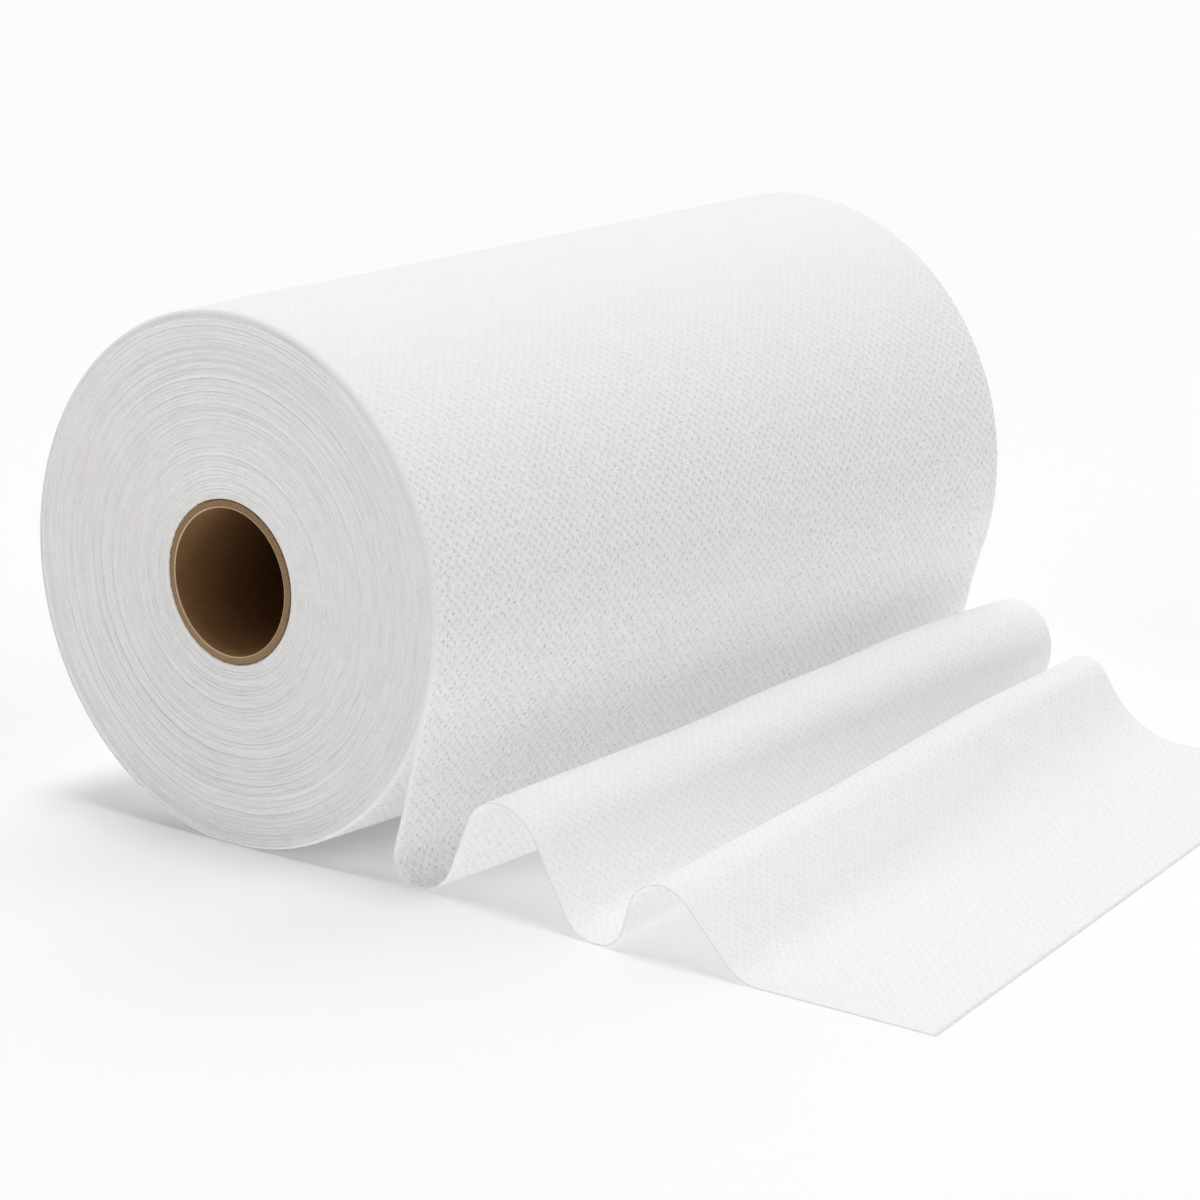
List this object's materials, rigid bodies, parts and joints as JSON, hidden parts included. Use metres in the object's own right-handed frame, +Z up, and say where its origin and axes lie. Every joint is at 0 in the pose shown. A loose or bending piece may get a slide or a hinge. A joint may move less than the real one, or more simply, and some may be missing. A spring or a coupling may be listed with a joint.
{
  "type": "exam table paper roll",
  "caption": "Embossed white exam table paper wound on a kraft paperboard core, lying on its side, its free end hanging off the roll and laid out in waves to a cut edge.",
  "frame": {"origin": "centre of the core's bore, halfway along the roll", "axes": "+Y along the roll's axis, +X towards the cut end of the free web, +Z up from the table"},
  "size_m": [0.3094, 0.25, 0.1464],
  "materials": {
    "paper": "matte white, embossed all over with small staggered pits",
    "core_board": "matte kraft paperboard, sawn ends paler"
  },
  "bodies": {
    "root": {"paper_roll": "paper", "core_tube": "core_board"}
  },
  "joints": []
}
